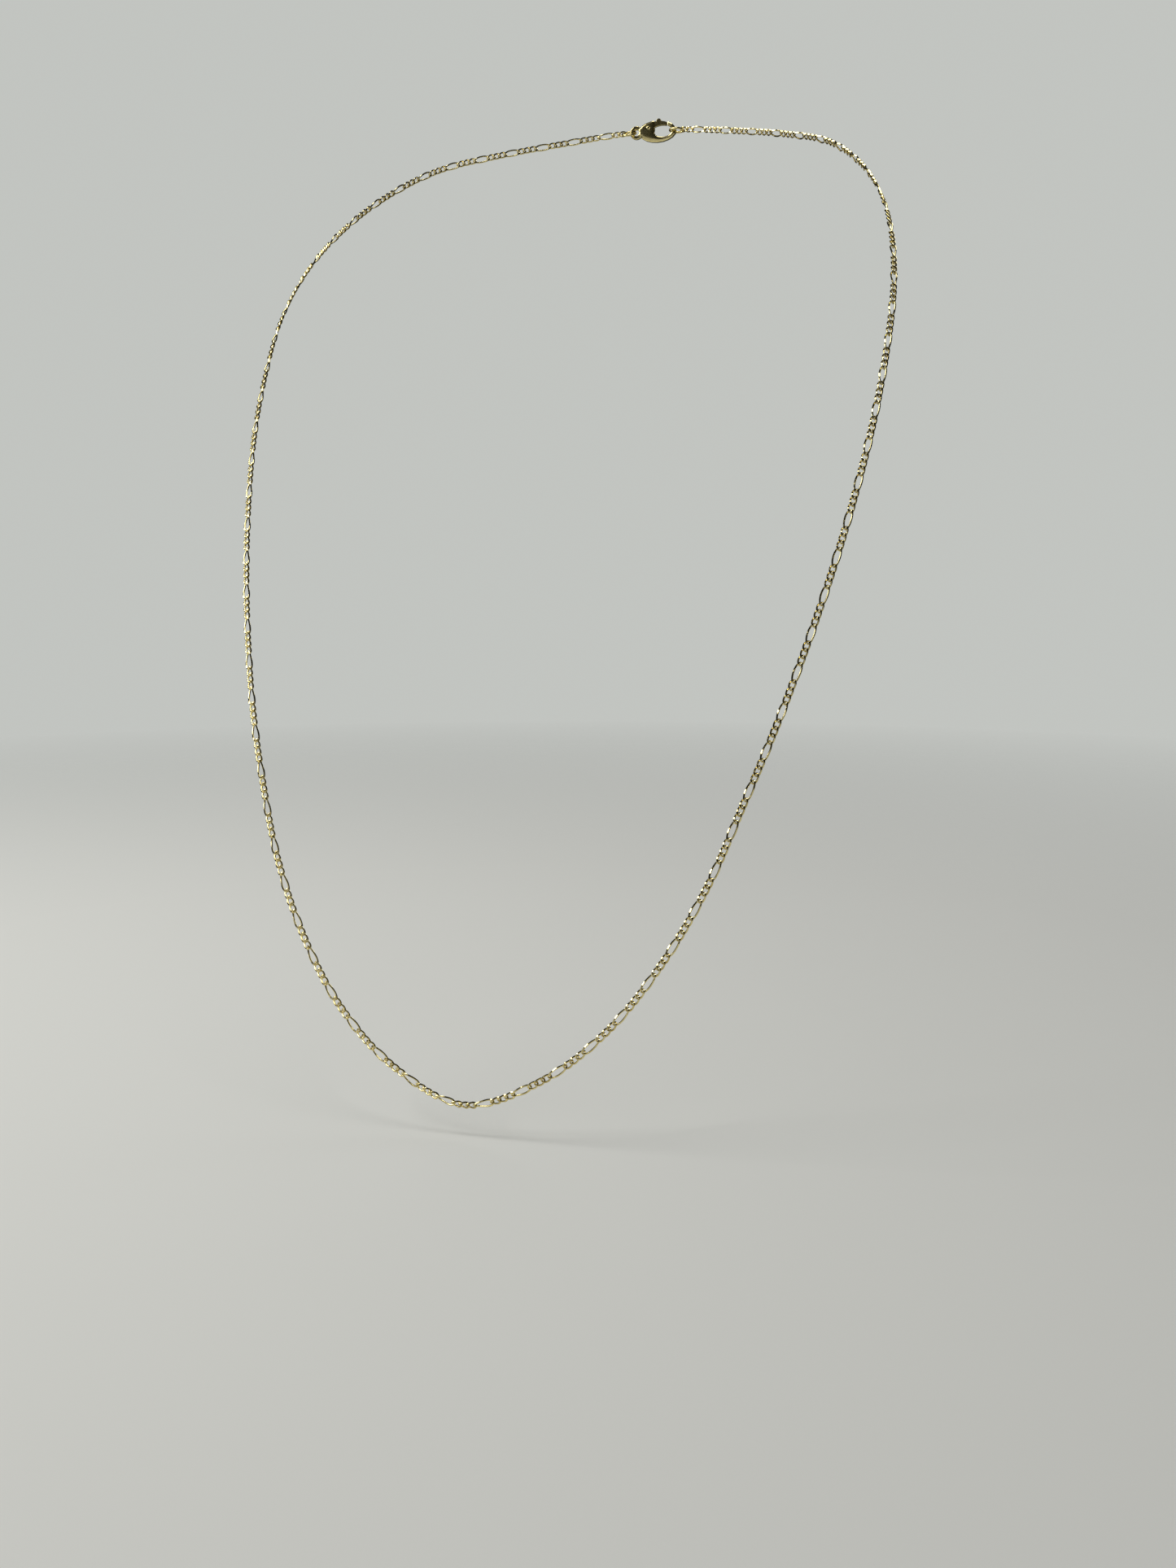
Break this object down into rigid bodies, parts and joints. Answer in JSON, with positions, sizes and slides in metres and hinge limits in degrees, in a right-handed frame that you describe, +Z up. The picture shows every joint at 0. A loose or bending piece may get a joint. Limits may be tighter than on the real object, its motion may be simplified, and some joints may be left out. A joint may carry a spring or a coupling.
{
  "type": "chain necklace",
  "caption": "Fine yellow-gold figaro neck chain, worn closed in a long loop, with curb links, two rings and a sprung lobster clasp.",
  "frame": {"origin": "middle of the nape, at the middle of the closed clasp and its rings", "axes": "+Z up as worn, -Y the way the wearer faces, +X to the wearer's left"},
  "size_m": [0.1124, 0.1092, 0.1701],
  "materials": {
    "chain_gold": "polished pale yellow gold, diamond-cut flats on the links",
    "clasp_gold": "polished pale yellow gold, cast",
    "spring_steel": "drawn steel wire"
  },
  "bodies": {
    "clasp": {"clasp_body": "clasp_gold", "clasp_rivet": "clasp_gold", "clasp_spring": "spring_steel"},
    "lever": {"clasp_lever": "clasp_gold"},
    "end_ring": {"end_ring": "clasp_gold"},
    "clasp_ring": {"clasp_ring": "clasp_gold"},
    "left_chain_01": {"left_chain_01": "chain_gold"},
    "left_chain_02": {"left_chain_02": "chain_gold"},
    "left_chain_03": {"left_chain_03": "chain_gold"},
    "left_chain_04": {"left_chain_04": "chain_gold"},
    "left_chain_05": {"left_chain_05": "chain_gold"},
    "left_chain_06": {"left_chain_06": "chain_gold"},
    "left_chain_07": {"left_chain_07": "chain_gold"},
    "left_chain_08": {"left_chain_08": "chain_gold"},
    "left_chain_09": {"left_chain_09": "chain_gold"},
    "left_chain_10": {"left_chain_10": "chain_gold"},
    "left_chain_11": {"left_chain_11": "chain_gold"},
    "left_chain_12": {"left_chain_12": "chain_gold"},
    "left_chain_13": {"left_chain_13": "chain_gold"},
    "left_chain_14": {"left_chain_14": "chain_gold"},
    "left_chain_15": {"left_chain_15": "chain_gold"},
    "left_chain_16": {"left_chain_16": "chain_gold"},
    "left_chain_17": {"left_chain_17": "chain_gold"},
    "left_chain_18": {"left_chain_18": "chain_gold"},
    "left_chain_19": {"left_chain_19": "chain_gold"},
    "right_chain_01": {"right_chain_01": "chain_gold"},
    "right_chain_02": {"right_chain_02": "chain_gold"},
    "right_chain_03": {"right_chain_03": "chain_gold"},
    "right_chain_04": {"right_chain_04": "chain_gold"},
    "right_chain_05": {"right_chain_05": "chain_gold"},
    "right_chain_06": {"right_chain_06": "chain_gold"},
    "right_chain_07": {"right_chain_07": "chain_gold"},
    "right_chain_08": {"right_chain_08": "chain_gold"},
    "right_chain_09": {"right_chain_09": "chain_gold"},
    "right_chain_10": {"right_chain_10": "chain_gold"},
    "right_chain_11": {"right_chain_11": "chain_gold"},
    "right_chain_12": {"right_chain_12": "chain_gold"},
    "right_chain_13": {"right_chain_13": "chain_gold"},
    "right_chain_14": {"right_chain_14": "chain_gold"},
    "right_chain_15": {"right_chain_15": "chain_gold"},
    "right_chain_16": {"right_chain_16": "chain_gold"},
    "right_chain_17": {"right_chain_17": "chain_gold"},
    "right_chain_18": {"right_chain_18": "chain_gold"},
    "right_chain_19": {"right_chain_19": "chain_gold"}
  },
  "joints": [
    {"name": "lever_hinge", "type": "hinge", "parent": "clasp", "child": "lever", "pos_m": [-0.0009, 0, 0.00075], "axis": [0, 1, 0], "range_deg": [0, 22], "stiffness_Nm_per_rad": 0.002, "springref_deg": -17.19},
    {"name": "end_ring_swivel", "type": "hinge", "parent": "clasp", "child": "end_ring", "pos_m": [0.0045, 0, 0], "axis": [-1, 0, 0], "range_deg": [0, 15]},
    {"name": "clasp_ring_swivel", "type": "hinge", "parent": "clasp", "child": "clasp_ring", "pos_m": [-0.0045, 0, 0], "axis": [-1, 0, 0], "range_deg": [0, 15]},
    {"name": "left_chain_01_bend", "type": "hinge", "parent": "end_ring", "child": "left_chain_01", "pos_m": [0.0059, 0.00016, 0.00008], "axis": [-1, 0, 0], "range_deg": [0, 15]},
    {"name": "left_chain_02_bend", "type": "hinge", "parent": "left_chain_01", "child": "left_chain_02", "pos_m": [0.01803, -0.00393, -0.00199], "axis": [-1, 0, 0], "range_deg": [0, 15]},
    {"name": "left_chain_03_bend", "type": "hinge", "parent": "left_chain_02", "child": "left_chain_03", "pos_m": [0.02892, -0.01045, -0.00487], "axis": [-1, 0, 0], "range_deg": [0, 15]},
    {"name": "left_chain_04_bend", "type": "hinge", "parent": "left_chain_03", "child": "left_chain_04", "pos_m": [0.03845, -0.01844, -0.00866], "axis": [-1, 0, 0], "range_deg": [0, 15]},
    {"name": "left_chain_05_bend", "type": "hinge", "parent": "left_chain_04", "child": "left_chain_05", "pos_m": [0.04563, -0.02737, -0.01479], "axis": [-1, 0, 0], "range_deg": [0, 15]},
    {"name": "left_chain_06_bend", "type": "hinge", "parent": "left_chain_05", "child": "left_chain_06", "pos_m": [0.05076, -0.0366, -0.0224], "axis": [-1, 0, 0], "range_deg": [0, 15]},
    {"name": "left_chain_07_bend", "type": "hinge", "parent": "left_chain_06", "child": "left_chain_07", "pos_m": [0.05389, -0.04576, -0.03109], "axis": [-1, 0, 0], "range_deg": [0, 15]},
    {"name": "left_chain_08_bend", "type": "hinge", "parent": "left_chain_07", "child": "left_chain_08", "pos_m": [0.05539, -0.05403, -0.04101], "axis": [-1, 0, 0], "range_deg": [0, 15]},
    {"name": "left_chain_09_bend", "type": "hinge", "parent": "left_chain_08", "child": "left_chain_09", "pos_m": [0.05532, -0.06105, -0.05198], "axis": [-1, 0, 0], "range_deg": [0, 15]},
    {"name": "left_chain_10_bend", "type": "hinge", "parent": "left_chain_09", "child": "left_chain_10", "pos_m": [0.05438, -0.0675, -0.06326], "axis": [-1, 0, 0], "range_deg": [0, 15]},
    {"name": "left_chain_11_bend", "type": "hinge", "parent": "left_chain_10", "child": "left_chain_11", "pos_m": [0.0526, -0.07338, -0.07475], "axis": [-1, 0, 0], "range_deg": [0, 15]},
    {"name": "left_chain_12_bend", "type": "hinge", "parent": "left_chain_11", "child": "left_chain_12", "pos_m": [0.05026, -0.07905, -0.08624], "axis": [-1, 0, 0], "range_deg": [0, 15]},
    {"name": "left_chain_13_bend", "type": "hinge", "parent": "left_chain_12", "child": "left_chain_13", "pos_m": [0.04735, -0.08443, -0.09774], "axis": [-1, 0, 0], "range_deg": [0, 15]},
    {"name": "left_chain_14_bend", "type": "hinge", "parent": "left_chain_13", "child": "left_chain_14", "pos_m": [0.04397, -0.08951, -0.10925], "axis": [-1, 0, 0], "range_deg": [0, 15]},
    {"name": "left_chain_15_bend", "type": "hinge", "parent": "left_chain_14", "child": "left_chain_15", "pos_m": [0.04, -0.09401, -0.12081], "axis": [-1, 0, 0], "range_deg": [0, 15]},
    {"name": "left_chain_16_bend", "type": "hinge", "parent": "left_chain_15", "child": "left_chain_16", "pos_m": [0.03566, -0.09776, -0.1325], "axis": [-1, 0, 0], "range_deg": [0, 15]},
    {"name": "left_chain_17_bend", "type": "hinge", "parent": "left_chain_16", "child": "left_chain_17", "pos_m": [0.02981, -0.10107, -0.14364], "axis": [-1, 0, 0], "range_deg": [0, 15]},
    {"name": "left_chain_18_bend", "type": "hinge", "parent": "left_chain_17", "child": "left_chain_18", "pos_m": [0.02229, -0.10392, -0.15387], "axis": [-1, 0, 0], "range_deg": [0, 15]},
    {"name": "left_chain_19_bend", "type": "hinge", "parent": "left_chain_18", "child": "left_chain_19", "pos_m": [0.01248, -0.10598, -0.16214], "axis": [-1, 0, 0], "range_deg": [0, 15]},
    {"name": "right_chain_01_bend", "type": "hinge", "parent": "clasp_ring", "child": "right_chain_01", "pos_m": [-0.0059, 0.00016, 0.00008], "axis": [-1, 0, 0], "range_deg": [0, 15]},
    {"name": "right_chain_02_bend", "type": "hinge", "parent": "right_chain_01", "child": "right_chain_02", "pos_m": [-0.01803, -0.00393, -0.00199], "axis": [-1, 0, 0], "range_deg": [0, 15]},
    {"name": "right_chain_03_bend", "type": "hinge", "parent": "right_chain_02", "child": "right_chain_03", "pos_m": [-0.02892, -0.01045, -0.00487], "axis": [-1, 0, 0], "range_deg": [0, 15]},
    {"name": "right_chain_04_bend", "type": "hinge", "parent": "right_chain_03", "child": "right_chain_04", "pos_m": [-0.03845, -0.01844, -0.00866], "axis": [-1, 0, 0], "range_deg": [0, 15]},
    {"name": "right_chain_05_bend", "type": "hinge", "parent": "right_chain_04", "child": "right_chain_05", "pos_m": [-0.04563, -0.02737, -0.01479], "axis": [-1, 0, 0], "range_deg": [0, 15]},
    {"name": "right_chain_06_bend", "type": "hinge", "parent": "right_chain_05", "child": "right_chain_06", "pos_m": [-0.05076, -0.0366, -0.0224], "axis": [-1, 0, 0], "range_deg": [0, 15]},
    {"name": "right_chain_07_bend", "type": "hinge", "parent": "right_chain_06", "child": "right_chain_07", "pos_m": [-0.05389, -0.04576, -0.03109], "axis": [-1, 0, 0], "range_deg": [0, 15]},
    {"name": "right_chain_08_bend", "type": "hinge", "parent": "right_chain_07", "child": "right_chain_08", "pos_m": [-0.05539, -0.05403, -0.04101], "axis": [-1, 0, 0], "range_deg": [0, 15]},
    {"name": "right_chain_09_bend", "type": "hinge", "parent": "right_chain_08", "child": "right_chain_09", "pos_m": [-0.05532, -0.06105, -0.05198], "axis": [-1, 0, 0], "range_deg": [0, 15]},
    {"name": "right_chain_10_bend", "type": "hinge", "parent": "right_chain_09", "child": "right_chain_10", "pos_m": [-0.05438, -0.0675, -0.06326], "axis": [-1, 0, 0], "range_deg": [0, 15]},
    {"name": "right_chain_11_bend", "type": "hinge", "parent": "right_chain_10", "child": "right_chain_11", "pos_m": [-0.0526, -0.07338, -0.07475], "axis": [-1, 0, 0], "range_deg": [0, 15]},
    {"name": "right_chain_12_bend", "type": "hinge", "parent": "right_chain_11", "child": "right_chain_12", "pos_m": [-0.05026, -0.07905, -0.08624], "axis": [-1, 0, 0], "range_deg": [0, 15]},
    {"name": "right_chain_13_bend", "type": "hinge", "parent": "right_chain_12", "child": "right_chain_13", "pos_m": [-0.04735, -0.08443, -0.09774], "axis": [-1, 0, 0], "range_deg": [0, 15]},
    {"name": "right_chain_14_bend", "type": "hinge", "parent": "right_chain_13", "child": "right_chain_14", "pos_m": [-0.04397, -0.08951, -0.10925], "axis": [-1, 0, 0], "range_deg": [0, 15]},
    {"name": "right_chain_15_bend", "type": "hinge", "parent": "right_chain_14", "child": "right_chain_15", "pos_m": [-0.04, -0.09401, -0.12081], "axis": [-1, 0, 0], "range_deg": [0, 15]},
    {"name": "right_chain_16_bend", "type": "hinge", "parent": "right_chain_15", "child": "right_chain_16", "pos_m": [-0.03566, -0.09776, -0.1325], "axis": [-1, 0, 0], "range_deg": [0, 15]},
    {"name": "right_chain_17_bend", "type": "hinge", "parent": "right_chain_16", "child": "right_chain_17", "pos_m": [-0.02981, -0.10107, -0.14364], "axis": [-1, 0, 0], "range_deg": [0, 15]},
    {"name": "right_chain_18_bend", "type": "hinge", "parent": "right_chain_17", "child": "right_chain_18", "pos_m": [-0.02229, -0.10392, -0.15387], "axis": [-1, 0, 0], "range_deg": [0, 15]},
    {"name": "right_chain_19_bend", "type": "hinge", "parent": "right_chain_18", "child": "right_chain_19", "pos_m": [-0.01248, -0.10598, -0.16214], "axis": [-1, 0, 0], "range_deg": [0, 15]}
  ],
  "couplings": [
    {"joint": "clasp_ring_swivel", "follows": "end_ring_swivel", "ratio": 1},
    {"joint": "right_chain_01_bend", "follows": "left_chain_01_bend", "ratio": 1},
    {"joint": "right_chain_02_bend", "follows": "left_chain_02_bend", "ratio": 1},
    {"joint": "right_chain_03_bend", "follows": "left_chain_03_bend", "ratio": 1},
    {"joint": "right_chain_04_bend", "follows": "left_chain_04_bend", "ratio": 1},
    {"joint": "right_chain_05_bend", "follows": "left_chain_05_bend", "ratio": 1},
    {"joint": "right_chain_06_bend", "follows": "left_chain_06_bend", "ratio": 1},
    {"joint": "right_chain_07_bend", "follows": "left_chain_07_bend", "ratio": 1},
    {"joint": "right_chain_08_bend", "follows": "left_chain_08_bend", "ratio": 1},
    {"joint": "right_chain_09_bend", "follows": "left_chain_09_bend", "ratio": 1},
    {"joint": "right_chain_10_bend", "follows": "left_chain_10_bend", "ratio": 1},
    {"joint": "right_chain_11_bend", "follows": "left_chain_11_bend", "ratio": 1},
    {"joint": "right_chain_12_bend", "follows": "left_chain_12_bend", "ratio": 1},
    {"joint": "right_chain_13_bend", "follows": "left_chain_13_bend", "ratio": 1},
    {"joint": "right_chain_14_bend", "follows": "left_chain_14_bend", "ratio": 1},
    {"joint": "right_chain_15_bend", "follows": "left_chain_15_bend", "ratio": 1},
    {"joint": "right_chain_16_bend", "follows": "left_chain_16_bend", "ratio": 1},
    {"joint": "right_chain_17_bend", "follows": "left_chain_17_bend", "ratio": 1},
    {"joint": "right_chain_18_bend", "follows": "left_chain_18_bend", "ratio": 1},
    {"joint": "right_chain_19_bend", "follows": "left_chain_19_bend", "ratio": 1}
  ]
}
